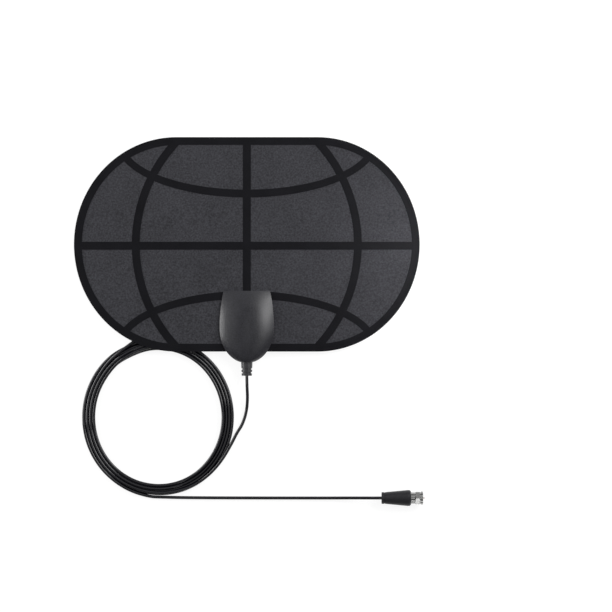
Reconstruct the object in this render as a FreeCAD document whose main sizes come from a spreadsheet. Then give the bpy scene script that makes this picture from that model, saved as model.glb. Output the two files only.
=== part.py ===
import FreeCAD, Part
import math
import os

import Sketcher

# Indoor TV antenna lying on a table, face up: a flexible panel with globe lines,
# a clam-shell housing, and a coiled coax lead that ends in a screw-on plug.
# Millimetres. +X runs along the panel, +Y from the cable end to the far edge, +Z up.
# The origin is on the table, under the middle of the panel with its housing.

SIZES = {
    # Panel: two plastic sheets with foil between them and raised lines on the face
    "panel_width": 330,
    "panel_height": 205,
    "end_reach": 97.5,
    "sheet_thickness": 0.35,
    "foil_thickness": 0.1,
    "bond_line": 0.02,
    "foil_margin": 14,
    "foil_gap": 10,
    # Globe lines on the panel's face
    "line_width": 7.5,
    "line_thickness": 0.25,
    "level_line_drop": 1.5,
    "meridian_offset": 106,
    "meridian_radius": 143.5,
    "parallel_offset": 48.4,
    "parallel_reach": 121.5,
    "parallel_depth": 49.7,
    # Housing: a domed front shell and a tray-shaped rear shell that clamp the panel
    "housing_length": 68,
    "housing_width": 52,
    "housing_top_width": 44.4,
    "housing_overhang": 10,
    "belly_reach": 32,
    "tip_width": 12.4,
    "rear_depth": 6.2,
    "shoulder_rise": 2.6,
    "crown_rise": 11.3,
    "top_end_rise": 5.3,
    "tip_rise": 7.8,
    "housing_wall": 1.8,
    "edge_chamfer": 0.8,
    "slot_clearance": 0.1,
    # Two screws from the back, through pillars and the panel into bosses
    "screw_spacing": 36,
    "screw_from_tip": 40,
    "screw_radius": 1.3,
    "screw_reach": 9.6,
    "screw_head_radius": 2.5,
    "screw_head_height": 1.4,
    "screw_recess": 0.3,
    "screw_clearance": 0.15,
    "thread_clearance": 0.02,
    "boss_radius": 3.3,
    # Matching board with its transformer core, on the panel inside the housing
    "board_width": 27,
    "board_length": 32,
    "board_thickness": 1.2,
    "board_from_tip": 20,
    "rivet_spacing": 18,
    "rivet_from_tip": 46,
    "rivet_radius": 1,
    "rivet_head_radius": 1.9,
    "rivet_head_height": 0.5,
    "core_width": 8,
    "core_length": 6,
    "core_height": 4,
    "core_hole_radius": 1,
    "core_hole_spacing": 3.6,
    "core_from_tip": 40,
    # Cable end on the board
    "notch_width": 5.4,
    "notch_depth": 9,
    "clamp_length": 4,
    "clamp_thickness": 0.4,
    "clamp_foot": 2.2,
    "clamp_from_tip": 23,
    "dielectric_radius": 0.9,
    "dielectric_length": 3,
    "conductor_radius": 0.3,
    "conductor_length": 6,
    # Strain relief
    "relief_length": 13,
    "relief_root_radius": 5.5,
    "relief_end_radius": 4.9,
    "relief_groove_depth": 0.95,
    "relief_groove_width": 1.3,
    "relief_rib_width": 2.2,
    "relief_neck_radius": 3.8,
    "relief_collar_radius": 4.3,
    "relief_collar_length": 1.2,
    "relief_clearance": 0.05,
    # Cable and its coil
    "cable_diameter": 3,
    "cord_clearance": 0.05,
    "coil_x_radius": 72.7,
    "coil_y_radius": 76.5,
    "coil_band": 12,
    "coil_height": 5.6,
    "coil_rounding": 2.2,
    # Plug: a moulded boot, a metal body and a coupling nut that spins on it
    "boot_length": 28,
    "boot_rear_radius": 5.6,
    "boot_front_radius": 7.6,
    "boot_band": 2.6,
    "boot_groove": 0.35,
    "boot_front_length": 2,
    "boot_chamfer": 1.2,
    "boot_grip": 6.5,
    "barrel_radius": 4.2,
    "barrel_length": 8,
    "collar_radius": 5.4,
    "collar_length": 3.9,
    "neck_radius": 3.6,
    "neck_length": 2.2,
    "flange_radius": 4.2,
    "flange_length": 1.2,
    "insulator_radius": 2.3,
    "nut_fit": 0.06,
    "nut_play": 0.2,
    "nut_length": 7.4,
    "nut_across_corners": 13.4,
    "nut_rear_radius": 5.6,
    "nut_chamfer": 0.8,
    "nut_hex_length": 4.3,
    "nut_groove_radius": 5.5,
    "nut_groove_width": 1,
    "nut_lip_radius": 6.3,
    "nut_lip_chamfer": 0.3,
    "thread_radius": 4.45,
    "pin_radius": 0.4,
    "pin_root_radius": 0.7,
    "pin_stickout": 1.8,
    "pin_point": 0.3,
}

# Where the coil and the plug lie on the table, and the cord's route between them.
# The routes are chosen by hand: z is height above a cord that lies on the table.
COIL_CENTRE = (-85.0, -153.7)
PLUG_REAR = (128.6, -230.7)
LEAD_OUTSIDE = [
    (0.8, -135.5, 3.4),
    (-0.3, -148.5, 0.6),
    (-4.3, -161.0, 0.0),
    (-9.6, -168.8, 0.0),
    (-16.4, -177.5, 0.2),
]
FOLD = [
    (-96.0, -84.4, 2.6),
    (-82.0, -82.3, 2.9),
    (-67.0, -79.8, 2.6),
    (-52.0, -76.0, 0.7),
    (-39.0, -69.0, 0.0),
    (-33.0, -57.0, 0.0),
    (-37.0, -44.0, 0.0),
    (-49.0, -38.0, 0.0),
    (-62.0, -41.0, 0.0),
    (-73.0, -50.0, 0.0),
    (-83.0, -61.0, 0.0),
    (-94.0, -71.0, 0.3),
    (-106.0, -80.0, 2.0),
    (-118.0, -88.8, 2.6),
]
TAIL_ON_TABLE = [
    (-82.0, -230.2, 0.0),
    (-52.0, -230.9, 0.0),
    (68.0, -231.1, 0.0),
    (97.0, -230.9, 1.7),
]
LEAD_STRAIGHT = 7.0
TAIL_STRAIGHT = 12.0
BEND_SHARE = 0.45
VOLUME_SHARE = 0.01
LEVEL_TOLERANCE = 0.01

# Places worked out from the sizes
PANEL_Y = "((sizes.housing_overhang + sizes.relief_length) / 2)"
PANEL_BOTTOM = f"({PANEL_Y} - sizes.panel_height / 2)"
PANEL_FAR = f"({PANEL_Y} + sizes.panel_height / 2)"
TIP_Y = f"({PANEL_BOTTOM} - sizes.housing_overhang)"
BELLY_Y = f"({TIP_Y} + sizes.belly_reach)"
HOUSING_TOP = f"({TIP_Y} + sizes.housing_length)"
FOIL_LEVEL = "(sizes.rear_depth + sizes.sheet_thickness + sizes.bond_line)"
FRONT_LEVEL = f"({FOIL_LEVEL} + sizes.foil_thickness + sizes.bond_line)"
PANEL_TOP = f"({FRONT_LEVEL} + sizes.sheet_thickness)"
LINE_LEVEL = f"({PANEL_TOP} + sizes.bond_line)"
SLOT_TOP = f"({LINE_LEVEL} + sizes.line_thickness + sizes.slot_clearance)"
BOARD_LEVEL = f"({PANEL_TOP} + sizes.bond_line)"
BOARD_TOP = f"({BOARD_LEVEL} + sizes.board_thickness)"
CABLE_Z = "((sizes.rear_depth + sizes.tip_rise) / 2)"
CABLE_RADIUS = "(sizes.cable_diameter / 2)"
CABLE_ON_BOARD = f"({BOARD_TOP} + {CABLE_RADIUS} + sizes.cord_clearance)"
NUT_START = "(sizes.boot_length + sizes.collar_length + sizes.nut_play)"
NUT_END = f"({NUT_START} + sizes.nut_length)"

V = FreeCAD.Vector
UPRIGHT = FreeCAD.Rotation()
QUARTER_TURN = FreeCAD.Rotation(V(0, 0, 1), 90)
ALONG_X = FreeCAD.Rotation(V(0, 1, 0), 90)
TOWARDS_CABLE = FreeCAD.Rotation(V(1, 0, 0), 90)
CUT_MARGIN = "5"
HEX_SIDES = 6

# Blocks with the panel's plan reach past its layers, and what cuts them reaches past the blocks
BLOCK_FLOOR = f"(-{CUT_MARGIN})"
BLOCK_HEIGHT = f"(sizes.rear_depth + 2 * {CUT_MARGIN})"
CUTTER_FLOOR = f"(-2 * {CUT_MARGIN})"
CUTTER_HEIGHT = f"(sizes.rear_depth + 4 * {CUT_MARGIN})"
CUTTER_WIDTH = f"(sizes.panel_width + 2 * {CUT_MARGIN})"
CUTTER_LENGTH = f"(sizes.panel_height + 2 * {CUT_MARGIN})"
HOUSING_CUTTER_WIDTH = f"(sizes.housing_width + 2 * {CUT_MARGIN})"
HOUSING_CUTTER_LENGTH = f"(sizes.housing_length + 2 * {CUT_MARGIN})"
HOUSING_MIDDLE = f"({TIP_Y} + sizes.housing_length / 2)"

# Where the housing's cross-sections lie: from its widest place to the flat end, and on to the tip
FLAT_END_SHARES = ("1", "0.66", "0.33", "0")
TIP_SHARES = ("0.3", "0.55", "0.78", "1")

doc = FreeCAD.newDocument("tv_antenna")
sheet = doc.addObject("Spreadsheet::Sheet", "sizes")
for row, (name, value) in enumerate(SIZES.items(), start=1):
    sheet.set(f"A{row}", name)
    sheet.set(f"B{row}", str(value))
    sheet.setAlias(f"B{row}", name)
doc.recompute()
subparts = []


def number(expression):
    return float(sheet.evalExpression(expression))


def bind(item, **expressions):
    for name, expression in expressions.items():
        item.setExpression(name, expression)


def place(item, x="0", y="0", z="0", rotation=UPRIGHT):
    item.Placement = FreeCAD.Placement(V(), rotation)
    for axis, expression in zip("xyz", (x, y, z)):
        item.setExpression(f"Placement.Base.{axis}", expression)


def keep(item, label):
    """Names a finished sub-part and adds it to the list that is written out."""
    item.Label = label
    subparts.append(item)
    return item


def box(name, length, width, height, x="0", y="0", z="0"):
    """A block centred on x and y, standing on z."""
    item = doc.addObject("Part::Box", name)
    bind(item, Length=length, Width=width, Height=height)
    place(item, f"{x} - ({length}) / 2", f"{y} - ({width}) / 2", z)
    return item


def cylinder(name, radius, height, x="0", y="0", z="0", rotation=UPRIGHT):
    item = doc.addObject("Part::Cylinder", name)
    bind(item, Radius=radius, Height=height)
    place(item, x, y, z, rotation)
    return item


def oval(name, x_radius, y_radius, height, x="0", y="0", z="0"):
    """An elliptical block standing on z."""
    wide = number(x_radius) >= number(y_radius)
    major, minor = (x_radius, y_radius) if wide else (y_radius, x_radius)
    ellipse = doc.addObject("Part::Ellipse", f"{name}_edge")
    bind(ellipse, MajorRadius=major, MinorRadius=minor)
    place(ellipse, x, y, z, UPRIGHT if wide else QUARTER_TURN)
    block = doc.addObject("Part::Extrusion", name)
    block.Base = ellipse
    block.DirMode = "Custom"
    block.Dir = V(0, 0, 1)
    block.Solid = True
    bind(block, LengthFwd=height)
    return block


def fuse(name, *shapes):
    item = doc.addObject("Part::MultiFuse", name)
    item.Shapes = list(shapes)
    item.Refine = True
    return item


def cut(name, base, tool):
    item = doc.addObject("Part::Cut", name)
    item.Base = base
    item.Tool = tool
    item.Refine = True
    return item


def common(name, base, tool):
    item = doc.addObject("Part::Common", name)
    item.Base = base
    item.Tool = tool
    item.Refine = True
    return item


def twins(name, item):
    """The item and its mirror image across the middle of the antenna."""
    other = doc.addObject("Part::Mirroring", f"{name}_mirror")
    other.Source = item
    other.Normal = V(1, 0, 0)
    both = doc.addObject("Part::Compound", name)
    both.Links = [item, other]
    return both


def plane_of(body, role):
    return next(f for f in body.Origin.OriginFeatures if f.Role == role)


def new_sketch(body, name, role):
    sketch = body.newObject("Sketcher::SketchObject", name)
    sketch.AttachmentSupport = [(plane_of(body, role), "")]
    sketch.MapMode = "FlatFace"
    return sketch


def link_ends(sketch, pairs):
    for first, first_end, second, second_end in pairs:
        sketch.addConstraint(Sketcher.Constraint("Coincident", first, first_end, second, second_end))


def dimension(sketch, kind, where, expression):
    """One driving dimension of a sketch, tied to the sheet."""
    value = number(expression)
    index = sketch.addConstraint(Sketcher.Constraint(kind, *where, value))
    sketch.setExpression(f"Constraints[{index}]", expression)


def turned(name, outline, x, y, z, rotation):
    """A lathe-turned body: (radius, distance along the axis) corners revolved about the axis."""
    body = doc.addObject("PartDesign::Body", name)
    sketch = new_sketch(body, f"{name}_profile", "XZ_Plane")
    corners = [V(number(radius), number(along), 0) for radius, along in outline]
    for start, end in zip(corners, corners[1:] + corners[:1]):
        sketch.addGeometry(Part.LineSegment(start, end))
    last = len(corners) - 1
    link_ends(sketch, [(i, 2, i + 1 if i < last else 0, 1) for i in range(len(corners))])
    for index, (radius, along) in enumerate(outline):
        if radius == "0":
            sketch.addConstraint(Sketcher.Constraint("PointOnObject", index, 1, -2))
        else:
            dimension(sketch, "DistanceX", (-1, 1, index, 1), radius)
        if along == "0":
            sketch.addConstraint(Sketcher.Constraint("PointOnObject", index, 1, -1))
        else:
            dimension(sketch, "DistanceY", (-1, 1, index, 1), along)
    revolution = body.newObject("PartDesign::Revolution", f"{name}_turning")
    revolution.Profile = sketch
    revolution.ReferenceAxis = (sketch, ["V_Axis"])
    revolution.Angle = 360
    place(body, x, y, z, rotation)
    return body


# Panel

def panel_block(name, inset, floor=BLOCK_FLOOR, height=BLOCK_HEIGHT):
    """A tall block of the panel's outline, drawn in by the inset."""
    half_height = f"(sizes.panel_height / 2 - {inset})"
    reach = f"(sizes.end_reach - {inset})"
    end_x = "(sizes.panel_width / 2 - sizes.end_reach)"
    middle = box(f"{name}_middle", f"2 * {end_x}", f"2 * {half_height}", height, y=PANEL_Y, z=floor)
    right = oval(f"{name}_right", reach, half_height, height, end_x, PANEL_Y, floor)
    left = oval(f"{name}_left", reach, half_height, height, f"-{end_x}", PANEL_Y, floor)
    return fuse(name, middle, right, left)


def bent_strip(name, level, thickness):
    """One layer of the panel from the side: flat at the housing, then drooping to the table."""
    body = doc.addObject("PartDesign::Body", name)
    sketch = new_sketch(body, f"{name}_profile", "YZ_Plane")
    reach = f"({PANEL_FAR} - {HOUSING_TOP})"
    droop = f"(({reach} ^ 2 + sizes.rear_depth ^ 2) / (2 * sizes.rear_depth))"
    centre_z = f"(sizes.rear_depth - {droop})"
    lower_radius = f"({level} - {centre_z})"
    upper_radius = f"({lower_radius} + {thickness})"
    near_y = f"({PANEL_BOTTOM} - {CUT_MARGIN})"
    far_y = f"({PANEL_FAR} + {CUT_MARGIN})"
    near, bend, far = number(near_y), number(HOUSING_TOP), number(far_y)
    lower, upper = number(lower_radius), number(upper_radius)
    centre = V(bend, number(centre_z), 0)

    def on_arc(radius):
        return V(far, centre.y + math.sqrt(radius ** 2 - (far - bend) ** 2), 0)

    def arc(radius):
        end = on_arc(radius) - centre
        circle = Part.Circle(centre, V(0, 0, 1), radius)
        return Part.ArcOfCircle(circle, math.atan2(end.y, end.x), math.pi / 2)

    low, high = centre.y + lower, centre.y + upper
    sketch.addGeometry(Part.LineSegment(V(near, low, 0), V(bend, low, 0)))
    sketch.addGeometry(arc(lower))
    sketch.addGeometry(Part.LineSegment(on_arc(lower), on_arc(upper)))
    sketch.addGeometry(arc(upper))
    sketch.addGeometry(Part.LineSegment(V(bend, high, 0), V(near, high, 0)))
    sketch.addGeometry(Part.LineSegment(V(near, high, 0), V(near, low, 0)))
    link_ends(sketch, [(0, 2, 1, 2), (1, 1, 2, 1), (2, 2, 3, 1), (3, 2, 4, 1), (4, 2, 5, 1), (5, 2, 0, 1)])
    link_ends(sketch, [(1, 3, 3, 3)])
    sketch.addConstraint(Sketcher.Constraint("Horizontal", 0))
    sketch.addConstraint(Sketcher.Constraint("Horizontal", 4))
    sketch.addConstraint(Sketcher.Constraint("Vertical", 2))
    sketch.addConstraint(Sketcher.Constraint("Vertical", 5))
    dimension(sketch, "DistanceX", (-1, 1, 1, 3), HOUSING_TOP)
    dimension(sketch, "DistanceY", (-1, 1, 1, 3), centre_z)
    dimension(sketch, "Radius", (1,), lower_radius)
    dimension(sketch, "Radius", (3,), upper_radius)
    dimension(sketch, "DistanceX", (-1, 1, 0, 1), near_y)
    dimension(sketch, "DistanceX", (-1, 1, 0, 2), HOUSING_TOP)
    dimension(sketch, "DistanceX", (-1, 1, 3, 2), HOUSING_TOP)
    dimension(sketch, "DistanceX", (-1, 1, 2, 1), far_y)
    pad = body.newObject("PartDesign::Pad", f"{name}_pad")
    pad.Profile = sketch
    pad.SideType = "Symmetric"
    bind(pad, Length=CUTTER_WIDTH)
    return body


def panel_holes():
    """The screw and rivet holes through the panel, and its notch for the cable."""
    screw = cylinder(
        "panel_screw_hole", "sizes.screw_radius + sizes.screw_clearance", CUTTER_HEIGHT,
        "sizes.screw_spacing / 2", f"{TIP_Y} + sizes.screw_from_tip", CUTTER_FLOOR)
    rivet = cylinder(
        "panel_rivet_hole", "sizes.rivet_radius + sizes.thread_clearance", CUTTER_HEIGHT,
        "sizes.rivet_spacing / 2", f"{TIP_Y} + sizes.rivet_from_tip", CUTTER_FLOOR)
    notch = box(
        "panel_notch", "sizes.notch_width", f"sizes.notch_depth + {CUT_MARGIN}", CUTTER_HEIGHT,
        y=f"{PANEL_BOTTOM} + (sizes.notch_depth - {CUT_MARGIN}) / 2", z=CUTTER_FLOOR)
    return fuse("panel_openings", twins("panel_screw_holes", screw), twins("panel_rivet_holes", rivet), notch)


def half_panel(name, gap):
    """A block over the right half of the panel, clear of the middle by half the gap."""
    width = f"({CUTTER_WIDTH} / 2 - {gap} / 2)"
    return box(name, width, CUTTER_LENGTH, CUTTER_HEIGHT, f"({gap} + {width}) / 2", PANEL_Y, CUTTER_FLOOR)


def panel_sheets(holes):
    punched = cut("punched_panel", panel_block("panel_outline", "0"), holes)
    back = bent_strip("back_strip", "sizes.rear_depth", "sizes.sheet_thickness")
    front = bent_strip("front_strip", FRONT_LEVEL, "sizes.sheet_thickness")
    keep(common("back_layer", punched, back), "back_sheet")
    keep(common("front_layer", punched, front), "front_sheet")


def panel_foils(holes):
    """Two halves of the receiving foil, one for each side of the panel."""
    inset = panel_block("foil_outline", "sizes.foil_margin")
    right_plan = common("foil_plan", inset, half_panel("foil_half", "sizes.foil_gap"))
    strip = bent_strip("foil_strip", FOIL_LEVEL, "sizes.foil_thickness")
    right = common("foil_layer", cut("punched_foil", right_plan, holes), strip)
    left = doc.addObject("Part::Mirroring", "foil_mirror")
    left.Source = right
    left.Normal = V(1, 0, 0)
    keep(right, "foil_right")
    keep(left, "foil_left")


def globe_lines(housing_space):
    """The border, meridians and parallels, as one raised layer on the panel's face."""
    half_line = "sizes.line_width / 2"
    outline = panel_block("border_outside", "0")
    inside = panel_block("border_inside", "sizes.line_width", CUTTER_FLOOR, CUTTER_HEIGHT)
    border = cut("border", outline, inside)
    upright = box("upright_line", "sizes.line_width", CUTTER_LENGTH, CUTTER_HEIGHT, y=PANEL_Y, z=CUTTER_FLOOR)
    level = box(
        "level_line", CUTTER_WIDTH, "sizes.line_width", CUTTER_HEIGHT,
        y=f"{PANEL_Y} - sizes.level_line_drop", z=CUTTER_FLOOR)

    def meridian_block(name, radius):
        centre_x = "sizes.meridian_offset - sizes.meridian_radius"
        return cylinder(name, radius, CUTTER_HEIGHT, centre_x, PANEL_Y, CUTTER_FLOOR)

    meridian_ring = cut(
        "meridian_ring",
        meridian_block("meridian_outside", f"sizes.meridian_radius + {half_line}"),
        meridian_block("meridian_inside", f"sizes.meridian_radius - {half_line}"))
    meridians = twins("meridians", common("meridian", meridian_ring, half_panel("meridian_half", "0")))

    parallel_y = f"{PANEL_Y} + sizes.parallel_offset + sizes.parallel_depth"

    def parallel_block(name, growth):
        reach, depth = f"sizes.parallel_reach + {growth}", f"sizes.parallel_depth + {growth}"
        return oval(name, reach, depth, CUTTER_HEIGHT, "0", parallel_y, CUTTER_FLOOR)

    parallel_ring = cut(
        "parallel_ring",
        parallel_block("parallel_outside", f"({half_line})"),
        parallel_block("parallel_inside", f"(-{half_line})"))
    bow_depth = f"(sizes.parallel_depth + {half_line})"
    bow_space = box(
        "parallel_half", CUTTER_WIDTH, bow_depth, CUTTER_HEIGHT,
        y=f"{parallel_y} - {bow_depth} / 2", z=CUTTER_FLOOR)
    upper = common("upper_parallel", parallel_ring, bow_space)
    lower = doc.addObject("Part::Mirroring", "lower_parallel")
    lower.Source = upper
    lower.Normal = V(0, 1, 0)
    lower.setExpression("Base.y", PANEL_Y)

    crossing = fuse("crossing_lines", upright, level, meridians, upper, lower)
    lines = fuse("lines_plan", border, common("lines_inside", crossing, outline))
    strip = bent_strip("line_strip", LINE_LEVEL, "sizes.line_thickness")
    keep(cut("lines_layer", common("lines_bent", lines, strip), housing_space), "globe_lines")


# Housing

def stations(inset):
    """Cross-sections from the housing's flat end to its tip: place, half width and crown height."""
    upper_length = f"(sizes.housing_length - sizes.belly_reach - {inset})"
    lower_length = f"(sizes.belly_reach - {inset})"
    belly = f"(sizes.housing_width / 2 - {inset})"
    top_end = f"(sizes.housing_top_width / 2 - {inset})"
    tip = f"(sizes.tip_width / 2 - {inset})"
    crown = f"(sizes.rear_depth + sizes.crown_rise - {inset})"
    end_drop = "(sizes.crown_rise - sizes.top_end_rise)"
    tip_drop = "(sizes.crown_rise - sizes.tip_rise)"
    places = []
    for share in FLAT_END_SHARES:
        places.append((
            f"{BELLY_Y} + {upper_length} * {share}",
            f"{belly} - ({belly} - {top_end}) * {share} ^ 2",
            f"{crown} - {end_drop} * {share} ^ 2"))
    end_angle = f"acos({tip} / {belly})"
    for share in TIP_SHARES:
        places.append((
            f"{BELLY_Y} - {lower_length} * sin({share} * {end_angle}) / sin({end_angle})",
            f"{belly} * cos({share} * {end_angle})",
            f"{crown} - {tip_drop} * (1 - cos({share} * 90))"))
    return places


def section(name, y, half_width, crown, floor):
    """One cross-section: chamfered below the floor's level, with upright sides and an arched top."""
    shoulder = "(sizes.rear_depth + sizes.shoulder_rise)"
    rise = f"({crown} - {shoulder})"
    radius = f"((({half_width}) ^ 2 + {rise} ^ 2) / (2 * {rise}))"
    foot = f"({half_width} - 2 * sizes.edge_chamfer)"
    keel = f"({floor} - sizes.edge_chamfer)"
    heel = f"({floor} + sizes.edge_chamfer)"
    side, top, arch_radius = number(half_width), number(shoulder), number(radius)
    low, inner, corner = number(keel), number(foot), number(heel)
    centre = V(0, number(crown) - arch_radius, 0)
    start = math.atan2(top - centre.y, side)
    sketch = doc.addObject("Sketcher::SketchObject", name)
    sketch.addGeometry(Part.LineSegment(V(-inner, low, 0), V(inner, low, 0)))
    sketch.addGeometry(Part.LineSegment(V(inner, low, 0), V(side, corner, 0)))
    sketch.addGeometry(Part.LineSegment(V(side, corner, 0), V(side, top, 0)))
    circle = Part.Circle(centre, V(0, 0, 1), arch_radius)
    sketch.addGeometry(Part.ArcOfCircle(circle, start, math.pi - start))
    sketch.addGeometry(Part.LineSegment(V(-side, top, 0), V(-side, corner, 0)))
    sketch.addGeometry(Part.LineSegment(V(-side, corner, 0), V(-inner, low, 0)))
    link_ends(sketch, [(0, 2, 1, 1), (1, 2, 2, 1), (2, 2, 3, 1), (3, 2, 4, 1), (4, 2, 5, 1), (5, 2, 0, 1)])
    sketch.addConstraint(Sketcher.Constraint("Symmetric", 0, 1, 0, 2, -2))
    sketch.addConstraint(Sketcher.Constraint("Symmetric", 2, 2, 4, 1, -2))
    sketch.addConstraint(Sketcher.Constraint("Symmetric", 1, 2, 4, 2, -2))
    sketch.addConstraint(Sketcher.Constraint("Vertical", 2))
    dimension(sketch, "Radius", (3,), radius)
    dimension(sketch, "DistanceX", (-1, 1, 2, 2), half_width)
    dimension(sketch, "DistanceY", (-1, 1, 2, 2), shoulder)
    dimension(sketch, "DistanceX", (-1, 1, 0, 2), foot)
    dimension(sketch, "DistanceY", (-1, 1, 1, 2), heel)
    dimension(sketch, "DistanceY", (-1, 1, 0, 2), keel)
    place(sketch, y=y, rotation=TOWARDS_CABLE)
    return sketch


def housing_loft(name, inset):
    """The housing's form through its cross-sections, on a flat floor; an inset makes the space inside."""
    loft = doc.addObject("Part::Loft", name)
    loft.Sections = [
        section(f"{name}_section_{index}", y, half_width, crown, inset)
        for index, (y, half_width, crown) in enumerate(stations(inset))]
    loft.Solid = True
    loft.Ruled = False
    height = "sizes.rear_depth + 2 * sizes.crown_rise"
    above_floor = box(
        f"{name}_above_floor", HOUSING_CUTTER_WIDTH, HOUSING_CUTTER_LENGTH, height, y=HOUSING_MIDDLE, z=inset)
    return common(f"{name}_trimmed", loft, above_floor)


def relief_hole():
    radius = "sizes.relief_neck_radius + sizes.relief_clearance"
    length = f"2 * sizes.housing_wall + {CUT_MARGIN}"
    return cylinder(
        "relief_hole", radius, length, "0", f"{TIP_Y} + 2 * sizes.housing_wall", CABLE_Z, TOWARDS_CABLE)


def screw_column(name, radius, bottom, top):
    return cylinder(
        name, radius, f"{top} - ({bottom})", "sizes.screw_spacing / 2",
        f"{TIP_Y} + sizes.screw_from_tip", bottom)


def housing_shells(form, space):
    """The form is split at the panel's back into a rear tray and a domed front shell."""
    width, length = HOUSING_CUTTER_WIDTH, HOUSING_CUTTER_LENGTH
    hole = relief_hole()
    head_top = "sizes.screw_recess + sizes.screw_head_height"
    shank_hole = "sizes.screw_radius + sizes.screw_clearance"
    head_hole = "sizes.screw_head_radius + sizes.screw_clearance"

    below = box(
        "below_panel", width, length, f"sizes.rear_depth + {CUT_MARGIN}",
        y=HOUSING_MIDDLE, z=f"-{CUT_MARGIN}")
    tray = cut("rear_tray", common("rear_form", form, below), space)
    pillar = screw_column("screw_pillar", "sizes.boss_radius", "0", "sizes.rear_depth")
    through = screw_column("pillar_hole", shank_hole, f"-{CUT_MARGIN}", "sizes.rear_depth")
    counterbore = screw_column("head_hole", head_hole, f"-{CUT_MARGIN}", head_top)
    pillars = common("screw_pillars", twins("pillar_pair", pillar), form)
    rear_holes = fuse("rear_holes", twins("pillar_holes", through), twins("head_holes", counterbore), hole)
    rear = cut("rear_shell", fuse("rear_solid", tray, pillars), rear_holes)
    keep(rear, "housing_back")

    crown = "sizes.rear_depth + sizes.crown_rise"
    above = box(
        "above_panel", width, length, f"sizes.crown_rise + {CUT_MARGIN}",
        y=HOUSING_MIDDLE, z="sizes.rear_depth")
    dome = cut("front_dome", common("front_form", form, above), space)
    slot_edge = f"({PANEL_BOTTOM} - sizes.slot_clearance)"
    slot_length = f"({HOUSING_TOP} + {CUT_MARGIN} - {slot_edge})"
    slot = box(
        "panel_slot", width, slot_length, f"{SLOT_TOP} - sizes.rear_depth",
        y=f"{slot_edge} + {slot_length} / 2", z="sizes.rear_depth")
    boss = screw_column("screw_boss", "sizes.boss_radius", PANEL_TOP, crown)
    bosses = common("screw_bosses", twins("boss_pair", boss), form)
    pilot_top = f"{head_top} + sizes.screw_reach + sizes.screw_recess"
    pilot = screw_column(
        "pilot_hole", "sizes.screw_radius + sizes.thread_clearance", f"{PANEL_TOP} - {CUT_MARGIN}", pilot_top)
    front_holes = fuse("front_holes", twins("pilot_holes", pilot), hole)
    front_solid = fuse("front_solid", cut("slotted_dome", dome, slot), bosses)
    front = cut("front_shell", front_solid, front_holes)
    keep(front, "housing_front")


def housing_screws():
    head_top = "(sizes.screw_recess + sizes.screw_head_height)"
    point = f"({head_top} + sizes.screw_reach)"
    screw = turned(
        "screw",
        [("0", "sizes.screw_recess"), ("sizes.screw_head_radius", "sizes.screw_recess"),
         ("sizes.screw_head_radius", head_top), ("sizes.screw_radius", head_top),
         ("sizes.screw_radius", f"{point} - sizes.screw_radius"), ("0", point)],
        "sizes.screw_spacing / 2", f"{TIP_Y} + sizes.screw_from_tip", "0", UPRIGHT)
    keep(twins("screw_pair", screw), "housing_screws")


# Inside the housing

def matching_board():
    board_y = f"({TIP_Y} + sizes.board_from_tip + sizes.board_length / 2)"
    blank = box(
        "board_blank", "sizes.board_width", "sizes.board_length", "sizes.board_thickness",
        y=board_y, z=BOARD_LEVEL)
    hole = cylinder(
        "board_rivet_hole", "sizes.rivet_radius + sizes.thread_clearance", "sizes.board_thickness",
        "sizes.rivet_spacing / 2", f"{TIP_Y} + sizes.rivet_from_tip", BOARD_LEVEL)
    keep(cut("board", blank, twins("board_rivet_holes", hole)), "matching_board")


def foil_rivets():
    """Two rivets that join the foils to the board through the panel."""
    upper = BOARD_TOP
    rivet = turned(
        "rivet",
        [("0", "sizes.rear_depth - sizes.rivet_head_height"),
         ("sizes.rivet_head_radius", "sizes.rear_depth - sizes.rivet_head_height"),
         ("sizes.rivet_head_radius", "sizes.rear_depth"), ("sizes.rivet_radius", "sizes.rear_depth"),
         ("sizes.rivet_radius", upper), ("sizes.rivet_head_radius", upper),
         ("sizes.rivet_head_radius", f"{upper} + sizes.rivet_head_height"),
         ("0", f"{upper} + sizes.rivet_head_height")],
        "sizes.rivet_spacing / 2", f"{TIP_Y} + sizes.rivet_from_tip", "0", UPRIGHT)
    keep(twins("rivet_pair", rivet), "foil_rivets")


def balun_core():
    """The two-hole ferrite core of the matching transformer."""
    core_y = f"({TIP_Y} + sizes.core_from_tip)"
    block = box(
        "core_block", "sizes.core_width", "sizes.core_length", "sizes.core_height", y=core_y, z=BOARD_TOP)
    hole = cylinder(
        "core_hole", "sizes.core_hole_radius", "sizes.core_length", "sizes.core_hole_spacing / 2",
        f"{core_y} + sizes.core_length / 2", f"{BOARD_TOP} + sizes.core_height / 2", TOWARDS_CABLE)
    keep(cut("core", block, twins("core_holes", hole)), "balun_core")


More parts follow.
